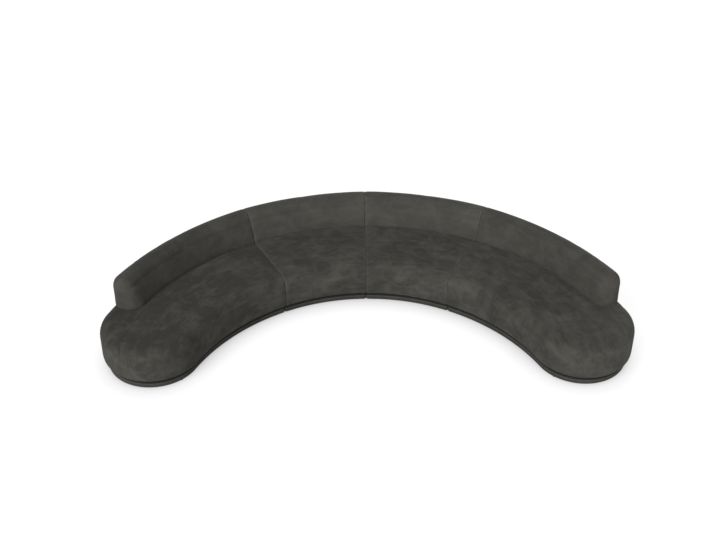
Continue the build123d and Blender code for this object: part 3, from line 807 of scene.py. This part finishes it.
def add_layers(piece, kind, mirrored, seed, lay=0.0):
    """Stores on a piece's points what its velvet reads.

    course is the place along and across the arc, edge the nearness to a joint, where a highlight is painted,
    and lay
    how much lighter the velvet shows: above 0 it shows lighter. lay holds each piece's own tone of pile with
    painted light and shade for how the lamps fall on it, and painted light on the pads' fronts and the backs'
    round ends.
    """
    place, normal = about_arc(piece), read(piece.data.vertices, "normal")
    x, y, z = place.T
    radius = np.hypot(x, y)
    course = np.stack([np.arctan2(x, y) * CROWN_LINE + 5 * seed, radius, z], 1)
    if mirrored:
        place[:, 0] *= -1
        normal[:, 0] *= -1
    angle = np.arctan2(x, y)
    # edge marks where a highlight is painted on the rounded edges beside each joint: 1 at the joint, 0 a
    # little way off.
    edge = np.clip(1 - (joint_distance(place, kind) - CLOTH_GAP) / JOINT_HIGHLIGHT_WIDTH, 0, 1)
    on_pad = ramp(angle, *PAD_SPREAD) * (radius < BACK_FACE + PAD_MARGIN) * (z < CROWN_HEIGHT)
    front = np.clip(-normal[:, 1], 0, 1) * np.clip(1.3 - 1.5 * np.abs(normal[:, 2]), 0, 1)
    on_end = ramp(angle, *END_SPREAD) * (z > BACK_LEVEL + HELD_LEVEL)
    facing = ramp(normal[:, :2] @ sideways(BACK_END), *FACING_SPREAD)
    # Each piece's own tone and its painted light and shade, with painted light on the pads' fronts and the
    # round ends.
    tone_and_painted_light = lay + PAD_FRONT_LIGHT * on_pad * front + BACK_END_LIGHT[mirrored] * on_end * facing
    for name, form, key, values in (
        ("course", "FLOAT_VECTOR", "vector", course), ("edge", "FLOAT", "value", edge),
        ("lay", "FLOAT", "value", tone_and_painted_light),
    ):
        piece.data.attributes.new(name, form, "POINT").data.foreach_set(key, values.reshape(-1))


def soft_piece(name, kind, part, mirrored, seed, lay):
    """One cushion: the cloth's shape, subdivided, a little uneven, with its seam pressed in."""
    points, faces, marks = SHAPES[f"{kind}_{part}"]
    piece = make_object(name, points, faces, mirrored)
    piece.data.attributes.new("seam", "FLOAT", "POINT").data.foreach_set("value", marks)
    divide = piece.modifiers.new("divide", "SUBSURF")
    divide.levels = divide.render_levels = 1
    fine = bpy.data.meshes.new_from_object(piece.evaluated_get(bpy.context.evaluated_depsgraph_get()))
    piece.modifiers.clear()
    rough, piece.data = piece.data, fine
    bpy.data.meshes.remove(rough)
    fine.name = name
    place, normal = read(fine.vertices, "co"), read(fine.vertices, "normal")
    seam = read(fine.attributes["seam"].data, "value", 1)
    centred = about_arc(piece)
    if mirrored:
        centred[:, 0] *= -1
    fade = ramp(joint_distance(centred, kind), *FADE_AT_JOINT)
    fade *= ramp(centred[:, 2] - PLINTH_TOP, *FADE_AT_FOOT)
    wave = np.array([undulation(p, seed) for p in centred.tolist()])
    place += normal * (WAVE_HEIGHT * (wave * fade)[:, None] - SEAM_DEPTH * seam)
    fine.vertices.foreach_set("co", place.reshape(-1))
    fine.attributes.remove(fine.attributes["seam"])
    fine.update()
    add_layers(piece, kind, mirrored, seed, lay)
    return piece


# Each module: its name, kind, whether it is mirrored, its seed, and its seat's and back's own tone and
# painted light
MODULES = (
    ("left_end", "end", True, 1.0, -0.20, -0.14), ("left_middle", "middle", True, 2.0, -0.05, 0.18),
    ("right_middle", "middle", False, 3.0, 0.0, 0.14), ("right_end", "end", False, 4.0, -0.02, 0.0),
)
seats, backs, plinths, linings = {}, {}, {}, {}
for module, kind, mirrored, seed, seat_tone_and_light, back_tone_and_light in MODULES:
    seats[module] = soft_piece(f"{module}_seat_cushion", kind, "seat", mirrored, seed, seat_tone_and_light)
    backs[module] = soft_piece(f"{module}_backrest_cushion", kind, "back", mirrored, seed + 0.5, back_tone_and_light)
    for piece in (seats[module], backs[module]):
        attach(piece, module)
    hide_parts(f"{module}_seat_cover", f"{module}_seat_foam", f"{module}_edge_padding")
    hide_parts(f"{module}_back_cover", f"{module}_back_foam")


# Fabric stretched round the plinths

LONG_STEP = 0.012
SHORT_STEP = 0.004
LEAST_STEP = 0.0005
STRAIGHT = steps(59)
OPEN_SPREAD = (0.002, 0.02)
UNEVEN_LEVELS = (0.012, 0.07)
UNEVEN_INSET = 0.0024
UNEVEN_ALONG = 22
UNEVEN_UP = 8
UNEVEN_DEPTH = 0.0007
UNEVEN_MOST = 0.0003
PAD_TURNS = 110

# Inset from the plinth's outline, and height: over its top, down its side, round the hem and up inside
PLINTH_PROFILE = (
    (0.0195, 0.0843), (0.0120, 0.0843), (0.0050, 0.0843), (0.0027, 0.0841), (0.0020, 0.0834),
    (0.0018, 0.078), (0.0020, 0.068), (0.0018, 0.058), (0.0020, 0.048), (0.0018, 0.0455),
    (0.0004, 0.0449), (-0.0030, 0.0441), (-0.0052, 0.0429), (-0.0064, 0.0405), (-0.0066, 0.0370),
    (-0.0062, 0.0280), (-0.0056, 0.0130), (-0.0044, 0.0074), (-0.0018, 0.0048), (0.0020, 0.0046),
    (0.0025, 0.0050), (0.0025, 0.0300), (0.0025, 0.0600), (0.0026, 0.08405), (0.0195, 0.08405),
)


def arc_points(centre, start, stop, step):
    """Points on a circle about a centre, from one point to another, the short way."""
    a, b = np.array(start) - centre, np.array(stop) - centre
    first, last = math.atan2(a[1], a[0]), math.atan2(b[1], b[0])
    turn = (last - first + math.pi) % (2 * math.pi) - math.pi
    size = np.linalg.norm(a)
    count = max(2, math.ceil(abs(turn) * size / step))
    angles = [first + turn * i / count for i in range(count + 1)]
    return [centre + size * np.array([math.cos(angle), math.sin(angle)]) for angle in angles]


def plinth_corner(centre, radius, angle, way, outside):
    """Rounded corner between the plinth's arc and a joint: where it touches both, and its middle."""
    reach = PLINTH_ROUND if outside else -PLINTH_ROUND
    hub = beside_joint(centre, radius + reach, angle, way * (HALF_GAP + PLINTH_ROUND))
    on_arc = centre + (hub - centre) / np.linalg.norm(hub - centre) * radius
    return on_arc, hub - sideways(angle) * way * PLINTH_ROUND, hub


def plinth_line(kind):
    """Closed plan line of the plinth's fabric."""
    rear = BACK_FACE - PLINTH_SETBACK
    if kind == "middle":
        first, centre, front = 0.0, ARC_CENTRE, SEAT_FRONT + PLINTH_SETBACK
    else:
        first, centre, front = JOINT, FRONT_CENTRE, END_FRONT + PLINTH_SETBACK
    front_arc, front_side, front_hub = plinth_corner(centre, front, first, 1, True)
    rear_arc, rear_side, rear_hub = plinth_corner(ARC_CENTRE, rear, first, 1, False)
    if kind == "middle":
        far_front, far_front_side, hub = plinth_corner(ARC_CENTRE, front, JOINT, -1, True)
        line = arc_points(ARC_CENTRE, front_arc, far_front, LONG_STEP)
        line += arc_points(hub, far_front, far_front_side, SHORT_STEP)
        turned, far_rear_side, hub = plinth_corner(ARC_CENTRE, rear, JOINT, -1, False)
        line += list(between(far_front_side, far_rear_side, STRAIGHT))
        line += arc_points(hub, far_rear_side, turned, SHORT_STEP)
    else:
        line = arc_points(FRONT_CENTRE, front_arc, FRONT_CENTRE + TO_PAD * front, LONG_STEP)
        turns = np.linspace(FRONT_TURN, math.pi / 2, PAD_TURNS)
        line += [circle_point(turn, PAD_RADIUS - PLINTH_SETBACK)[0] for turn in turns]
        turned = outward(PAD) * rear
    line += arc_points(ARC_CENTRE, turned, rear_arc, LONG_STEP)
    line += arc_points(rear_hub, rear_arc, rear_side, SHORT_STEP)
    line += list(between(rear_side, front_side, STRAIGHT))
    line += arc_points(front_hub, front_side, front_arc, SHORT_STEP)
    kept = [line[0]]
    for point in line[1:]:
        if np.linalg.norm(point - kept[-1]) > LEAST_STEP:
            kept.append(point)
    if np.linalg.norm(kept[0] - kept[-1]) < LEAST_STEP:
        kept.pop()
    return np.array(kept)


def plinth_band(name, kind, mirrored, seed):
    """Fabric wrapped over the plinth's top and round its side, with a turned hem at its foot."""
    line = plinth_line(kind)
    following = np.roll(line, -1, 0)
    along = following - np.roll(line, 1, 0)
    along /= np.linalg.norm(along, axis=1, keepdims=True)
    inward = np.stack([-along[:, 1], along[:, 0]], 1)
    if np.sum(line[:, 0] * following[:, 1] - following[:, 0] * line[:, 1]) < 0:
        inward = -inward
    open_side = ramp(joint_distance(line, kind) - HALF_GAP, *OPEN_SPREAD)
    rows = []
    for inset, height in PLINTH_PROFILE:
        depth = inset * open_side if inset < 0 else np.full(len(line), inset)
        if UNEVEN_LEVELS[0] < height < UNEVEN_LEVELS[1] and inset < UNEVEN_INSET:
            up = height * UNEVEN_UP + seed
            bump = [noise.noise(Vector((x * UNEVEN_ALONG, y * UNEVEN_ALONG, up))) for x, y in line]
            depth = depth + np.minimum(np.array(bump) * UNEVEN_DEPTH, UNEVEN_MOST)
        rows.append(with_height(line + inward * depth[:, None], height))
    rows = np.array(rows)
    rows = np.concatenate([rows, rows[:, :1]], 1)
    shell = Shell()
    shell.patch(np.concatenate([rows, rows[:1]]))
    points, faces, _ = shell.arrays()
    band = make_object(name, points, faces, mirrored)
    add_layers(band, kind, mirrored, seed)
    return band


for module, kind, mirrored, seed, _, _ in MODULES:
    plinths[module] = plinth_band(f"{module}_plinth_fabric", kind, mirrored, seed)
    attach(plinths[module], module)
    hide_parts(f"{module}_plinth_cover")


# Lining cloth stretched under the seats

LINING_STEP = 0.02
LINING_GRID = (60, 30)
PAD_STEPS = 90
PAD_SPLIT = 49
LINING_SCALE = 9
LINING_WAVE = 0.0002
LINING_SAG = 0.0001


def evenly(line, count):
    """Points at even distances along a line."""
    line = np.array(line)
    along = np.concatenate([[0], np.cumsum(np.linalg.norm(np.diff(line, axis=0), axis=1))])
    places = np.linspace(0, along[-1], count)
    return np.stack([np.interp(places, along, line[:, i]) for i in range(2)], 1)


def lining_plan(kind):
    """Grid over the plan of the lining cloth, which stays LINING_INSET inside the seat's outline."""
    rear_radius = SEAT_REAR - LINING_INSET
    if kind == "middle":
        front, rear = (
            arc_points(ARC_CENTRE, beside_joint(ARC_CENTRE, radius, 0.0, LINING_INSET),
                       beside_joint(ARC_CENTRE, radius, JOINT, -LINING_INSET), LINING_STEP)
            for radius in (SEAT_FRONT + LINING_INSET, rear_radius)
        )
        stop = [front[-1], rear[-1]]
    else:
        size, reach = PAD_RADIUS - LINING_INSET, np.linalg.norm(PAD_CENTRE)
        meet = math.asin((rear_radius**2 - reach**2 - size**2) / (2 * reach * size))
        circle = [circle_point(turn, size)[0] for turn in np.linspace(FRONT_TURN, meet, PAD_STEPS)]
        start = beside_joint(FRONT_CENTRE, END_FRONT + LINING_INSET, JOINT, LINING_INSET)
        front = arc_points(FRONT_CENTRE, start, circle[0], LINING_STEP) + circle[1:PAD_SPLIT + 1]
        stop = circle[PAD_SPLIT:]
        start = beside_joint(ARC_CENTRE, rear_radius, JOINT, LINING_INSET)
        rear = arc_points(ARC_CENTRE, start, circle[-1], LINING_STEP)
    along, across = LINING_GRID
    return coons(evenly(front, along), evenly(rear, along), evenly([front[0], rear[0]], across),
                 evenly(stop, across))


def lining(name, kind, mirrored, seed):
    """Closed thin sheet, pulled taut and a little uneven."""
    plan = lining_plan(kind)
    uneven = np.array([[noise.noise(Vector((*(p * LINING_SCALE), seed))) for p in row] for row in plan])
    heights = LINING_TOP + uneven * LINING_WAVE - LINING_SAG
    top, under = with_height(plan, heights), with_height(plan, heights - LINING_THICKNESS)
    shell = Shell()
    shell.patch(top)
    shell.patch(under)
    for edge in (np.s_[0, :], np.s_[-1, :], np.s_[:, 0], np.s_[:, -1]):
        shell.patch(np.stack([top[edge], under[edge]]))
    points, faces, _ = shell.arrays()
    return make_object(name, points, faces, mirrored)


for module, kind, mirrored, seed, _, _ in MODULES:
    linings[module] = lining(f"{module}_lining", kind, mirrored, seed)
    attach(linings[module], module)
    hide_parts(f"{module}_dust_cover")


# Materials

class Tree:
    """Node tree of a material or world. An input is a number, a colour or another node's socket."""

    def __init__(self, owner):
        owner.use_nodes = True
        self.nodes = owner.node_tree.nodes
        self.links = owner.node_tree.links

    def put(self, value, socket):
        if isinstance(value, bpy.types.NodeSocket):
            self.links.new(value, socket)
        else:
            socket.default_value = value

    def add(self, kind, inputs=None, **settings):
        node = self.nodes.new(kind)
        for key, value in settings.items():
            setattr(node, key, value)
        for key, value in (inputs or {}).items():
            self.put(value, node.inputs[key])
        return node

    def maths(self, operation, *values):
        return self.add("ShaderNodeMath", dict(enumerate(values)), operation=operation).outputs[0]


class Finish(Tree):
    """Material with a Principled shader."""

    def __init__(self, name, **inputs):
        self.material = bpy.data.materials.new(name)
        super().__init__(self.material)
        self.shader = self.nodes["Principled BSDF"]
        self.set(**inputs)
        coordinates = self.add("ShaderNodeTexCoord")
        self.place = coordinates.outputs["Object"]
        self.facing = coordinates.outputs["Normal"]

    def set(self, **inputs):
        for key, value in inputs.items():
            self.put(value, self.shader.inputs[key.replace("_", " ")])
        return self.material

    def layer(self, name):
        """What is stored on the piece's points under a name."""
        node = self.add("ShaderNodeAttribute", attribute_name=name)
        return node.outputs["Vector" if name == "course" else "Fac"]

    def height_of(self, vector):
        return self.add("ShaderNodeSeparateXYZ", {0: vector}).outputs["Z"]

    def placed(self, scale=(1, 1, 1), turn=(0, 0, 0), shift=(0, 0, 0), start=None):
        """Object coordinates or others, scaled, turned and shifted."""
        inputs = {"Scale": scale, "Rotation": turn, "Location": shift, "Vector": start or self.place}
        return self.add("ShaderNodeMapping", inputs).outputs["Vector"]

    def noise(self, scale, detail=3, roughness=0.5, distortion=0.0, place=None):
        inputs = {"Scale": scale, "Detail": detail, "Roughness": roughness, "Distortion": distortion,
                  "Vector": place or self.place}
        return self.add("ShaderNodeTexNoise", inputs).outputs["Fac"]

    def ranged(self, value, low, high, to_low=0.0, to_high=1.0):
        """value spread from low..high to to_low..to_high, with soft ends."""
        inputs = {"From Min": low, "From Max": high, "To Min": to_low, "To Max": to_high, "Value": value}
        return self.add("ShaderNodeMapRange", inputs, interpolation_type="SMOOTHSTEP").outputs["Result"]

    def mixed(self, share, a, b):
        """Colour between a and b."""
        node = self.add("ShaderNodeMix", {"Factor": share}, data_type="RGBA")
        for socket in node.inputs:
            if socket.type == "RGBA":
                value = a if socket.name == "A" else b
                self.put((*value, 1) if isinstance(value, tuple) else value, socket)
        return next(socket for socket in node.outputs if socket.type == "RGBA")

    def bump(self, height, distance, strength=1.0, normal=None):
        inputs = {"Distance": distance, "Strength": strength, "Height": height}
        if normal is not None:
            inputs["Normal"] = normal
        return self.add("ShaderNodeBump", inputs).outputs["Normal"]


def shaded(colour, share):
    """The colour at a share of its brightness."""
    return tuple(x * share for x in colour)


def velvet(name, patches, dark, light, turn, upright, hem=0.0):
    """Brushed velvet.

    patches is how strongly its nap changes direction, and upright how much of its colour steep faces keep,
    which paints light and shade by the way a face looks. Below the height hem, where there is one, it is
    plain; above it, it is painted dark, as painted shade under the seat's overhang.
    """
    f = Finish(name, Roughness=0.92, Specular_IOR_Level=0.10, Sheen_Weight=0.08, Sheen_Roughness=0.42,
               Sheen_Tint=(0.80, 0.80, 0.75, 1))
    broad = f.ranged(f.noise(2.3, 3, 0.55, 0.9), 0.40, 0.62)
    cloud = f.ranged(f.noise(5.5, 4, 0.6, 1.4, f.placed(shift=(3.1, 1.7, 0.4))), 0.42, 0.60)
    stroke_place = f.placed(scale=(2.4, 11.0, 8.0), turn=(0, 0, turn), start=f.layer("course"))
    stroke = f.ranged(f.noise(1.6, 4, 0.62, 0.7, stroke_place), 0.40, 0.66)
    fibre = f.noise(900, 2, 0.6)
    nap = f.maths("ADD", f.maths("MULTIPLY", broad, 0.38), f.maths("MULTIPLY", cloud, 0.30))
    nap = f.maths("ADD", nap, f.maths("MULTIPLY", stroke, 0.32))
    nap = f.maths("ADD", f.maths("MULTIPLY", f.maths("SUBTRACT", nap, 0.5), patches), 0.5)
    nap = f.maths("ADD", nap, f.maths("MULTIPLY", f.maths("SUBTRACT", fibre, 0.5), 0.22))
    # Painted highlight on the rounded edges beside each joint.
    nap = f.maths("ADD", nap, f.maths("MULTIPLY", f.layer("edge"), 0.35))
    # Each piece's own tone of pile, with painted light and shade, and painted light on pad fronts and round
    # ends.
    nap = f.maths("ADD", nap, f.layer("lay"))
    # Painted light and shade by facing: steep faces keep upright's share of the colour that tops have.
    level = f.height_of(f.facing)
    ends = [f.mixed(f.ranged(level, 0.1, 0.75), shaded(tone, upright), tone) for tone in (dark, light)]
    colour = f.mixed(nap, *ends)
    if hem:
        # Painted shade: above the hem the plinth is painted dark where the seat's overhang shades it.
        pressed = f.ranged(f.height_of(f.layer("course")), hem - 0.003, hem + 0.002)
        colour = f.mixed(pressed, colour, shaded(dark, 0.38))
    pile = f.bump(fibre, 0.0006, 0.35)
    lay = f.bump(f.noise(60, 3, 0.6), 0.0008, 0.25, pile)
    return f.set(Base_Color=colour, Normal=lay, Roughness=f.ranged(nap, 0.0, 1.0, 0.98, 0.86))


DARK = (0.034, 0.0329, 0.0286)
LIGHT = (0.066, 0.0640, 0.0567)
# The plinth's fabric is the seats' velvet. Its own colours paint light on the hem's top and, with upright,
# shade on its side.
PLINTH_DARK = (0.044, 0.043, 0.039)
PLINTH_LIGHT = (0.084, 0.082, 0.075)
# upright paints light on the seats' steep fronts (above 1) and shade on the plinth's steep face (below 1).
seat_velvet = velvet("seat_velvet", 1.0, DARK, LIGHT, 0.35, 1.08)
back_velvet = velvet("back_velvet", 0.6, DARK, LIGHT, -0.3, 1.0)
plinth_velvet = velvet("plinth_velvet", 0.5, PLINTH_DARK, PLINTH_LIGHT, 0.0, 0.62, 0.0458)


def timber(name, pale, deep, scale):
    """Planed timber with its grain along the boards."""
    f = Finish(name, Specular_IOR_Level=0.3)
    grain = f.noise(1.0, 6, 0.6, 0.6, f.placed(scale=scale))
    line = f.ranged(grain, 0.35, 0.68)
    pores = f.noise(1.0, 2, 0.5, 0.0, f.placed(scale=tuple(x * 9 for x in scale)))
    colour = f.mixed(line, pale, deep)
    colour = f.mixed(f.ranged(pores, 0.62, 0.75, 0, 0.35), colour, shaded(deep, 0.55))
    rough = f.ranged(grain, 0.2, 0.8, 0.55, 0.72)
    return f.set(Base_Color=colour, Roughness=rough, Normal=f.bump(pores, 0.0004, 0.4))


def woven(name, dark, light, across, rib):
    """Woven band or lining: crossing threads a millimetre or two apart."""
    f = Finish(name, Roughness=0.8, Specular_IOR_Level=0.2)
    waves = []
    for direction in ("X", "Y"):
        inputs = {"Scale": across, "Distortion": 0.6, "Vector": f.place}
        settings = {"wave_type": "BANDS", "bands_direction": direction, "wave_profile": "SIN"}
        waves.append(f.add("ShaderNodeTexWave", inputs, **settings).outputs["Fac"])
    weave = f.maths("MULTIPLY", *waves)
    tone = f.maths("ADD", f.maths("MULTIPLY", weave, 0.7), f.maths("MULTIPLY", f.noise(40, 3), 0.4))
    return f.set(Base_Color=f.mixed(tone, dark, light), Normal=f.bump(weave, rib, 0.6))


def cast(name, dark, light, smoothest, roughest, grain, metallic):
    """Metal, paint or plastic with faint clouds and fine spots."""
    f = Finish(name, Metallic=metallic)
    cloud = f.noise(grain, 4, 0.6, 0.4)
    spots = f.noise(grain * 9, 3, 0.6)
    colour = f.mixed(cloud, dark, light)
    rough = f.ranged(cloud, 0.3, 0.7, smoothest, roughest)
    return f.set(Base_Color=colour, Roughness=rough, Normal=f.bump(spots, 0.0002, 0.3))


frame_timber = timber("frame_timber", (0.62, 0.44, 0.26), (0.42, 0.27, 0.14), (7, 7, 95))
plinth_timber = timber("plinth_timber", (0.50, 0.35, 0.21), (0.31, 0.20, 0.11), (6, 6, 80))
webbing_elastic = woven("webbing_elastic", (0.03, 0.03, 0.03), (0.16, 0.15, 0.14), 160, 0.0006)
lining_cloth = woven("lining_cloth", (0.012, 0.012, 0.013), (0.045, 0.045, 0.047), 260, 0.0003)
fastener_steel = cast("fastener_steel", (0.52, 0.53, 0.54), (0.72, 0.72, 0.70), 0.25, 0.45, 60, 1.0)
connector_steel = cast("connector_steel", (0.022, 0.022, 0.023), (0.040, 0.040, 0.042), 0.45, 0.62, 220, 0.0)
glide_plastic = cast("glide_plastic", (0.012, 0.012, 0.013), (0.022, 0.022, 0.023), 0.38, 0.55, 90, 0.0)

FINISHES = {
    "plinth_frame": plinth_timber, "seat_frame": frame_timber, "back_frame": frame_timber,
    "webbing": webbing_elastic, "dust_cover": lining_cloth, "glides": glide_plastic,
    "fasteners": fastener_steel, "tongues": connector_steel, "sockets": connector_steel,
}
for name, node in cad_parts.items():
    for ending, finish in FINISHES.items():
        if name.endswith(ending):
            node.data.materials.clear()
            node.data.materials.append(finish)

DRESSED = ((seats, seat_velvet), (backs, back_velvet), (plinths, plinth_velvet), (linings, lining_cloth))
for pieces, finish in DRESSED:
    for piece in pieces.values():
        piece.data.materials.append(finish)


# Floor, light and camera

FLOOR_REACH = 40
LAMP_SPREAD = 35
LAMP_AWAY = 9
WHITE = (1, 1, 1, 1)

corners = [(x * FLOOR_REACH, y * FLOOR_REACH, 0) for x, y in ((-1, -1), (1, -1), (1, 1), (-1, 1))]
floor_mesh = bpy.data.meshes.new("floor")
floor_mesh.from_pydata(corners, [], [(0, 1, 2, 3)])
floor = bpy.data.objects.new("floor", floor_mesh)
bpy.context.scene.collection.objects.link(floor)


def either(tree, looked_at, other):
    """Shader that is looked_at where the background is seen or mirrored, and other for its light."""
    path = tree.add("ShaderNodeLightPath")
    seen = path.outputs["Is Camera Ray"]
    for ray in ("Is Glossy Ray", "Is Transmission Ray"):
        seen = tree.maths("MAXIMUM", seen, path.outputs[ray])
    return tree.add("ShaderNodeMixShader", {"Fac": seen, 1: other, 2: looked_at}).outputs[0]


def matte(tree, level):
    """Grey diffuse shader."""
    return tree.add("ShaderNodeBsdfDiffuse", {"Color": (level, level, level, 1)}).outputs[0]


# The floor is seen white. Its own shading darkens it where the sofa shades it, most of all by the plinth.
ground = bpy.data.materials.new("floor")
tree = Tree(ground)
tree.nodes.clear()
near = tree.add("ShaderNodeAmbientOcclusion", {"Distance": 0.3})
deep = tree.maths("POWER", tree.maths("SUBTRACT", 1, near.outputs["AO"]), 2)
level = tree.maths("MULTIPLY_ADD", deep, -0.9, 0.9)
glow = tree.add("ShaderNodeEmission", {"Color": WHITE, "Strength": level})
white = tree.add("ShaderNodeAddShader", {0: matte(tree, 0.16), 1: glow.outputs[0]})
tree.add("ShaderNodeOutputMaterial", {"Surface": either(tree, white.outputs[0], matte(tree, 0.45))})
floor_mesh.materials.append(ground)

world = bpy.data.worlds.new("studio")
bpy.context.scene.world = world
tree = Tree(world)
tree.nodes.clear()
skies = [tree.add("ShaderNodeBackground", {"Color": WHITE, "Strength": s}).outputs[0] for s in (1.0, 0.12)]
tree.add("ShaderNodeOutputWorld", {"Surface": either(tree, *skies)})


def lamp(name, side, height, power):
    """Soft far lamp, from a side and a height in degrees: side 0 is the front, and grows to the right."""
    data = bpy.data.lights.new(name, "SUN")
    data.angle = math.radians(LAMP_SPREAD)
    data.energy = power
    made = bpy.data.objects.new(name, data)
    turn, rise = math.radians(side), math.radians(height)
    place = Vector((math.sin(turn) * math.cos(rise), -math.cos(turn) * math.cos(rise), math.sin(rise)))
    made.location = place * LAMP_AWAY
    made.rotation_euler = (-place).to_track_quat("-Z", "Y").to_euler()
    bpy.context.scene.collection.objects.link(made)


lamp("key", -38, 38, 3.15)
lamp("fill", 32, 26, 1.2)
lamp("rear", 170, 14, 1.1)

# The camera as it was solved from the photo, whose width and focal length are in pixels
PHOTO_WIDTH = 716
PHOTO_FOCUS = 1098.5
LOOKS_DOWN = 36.142
LOOKS_ASIDE = -0.725

camera = bpy.data.objects.new("camera", bpy.data.cameras.new("camera"))
camera.location = (-0.1803, -8.1103, 6.4046)
camera.rotation_euler = (math.radians(90 - LOOKS_DOWN), 0, math.radians(LOOKS_ASIDE))
camera.data.sensor_width = 36
camera.data.lens = camera.data.sensor_width * PHOTO_FOCUS / PHOTO_WIDTH
bpy.context.scene.collection.objects.link(camera)
bpy.context.scene.camera = camera
bpy.context.scene.view_settings.view_transform = "Standard"
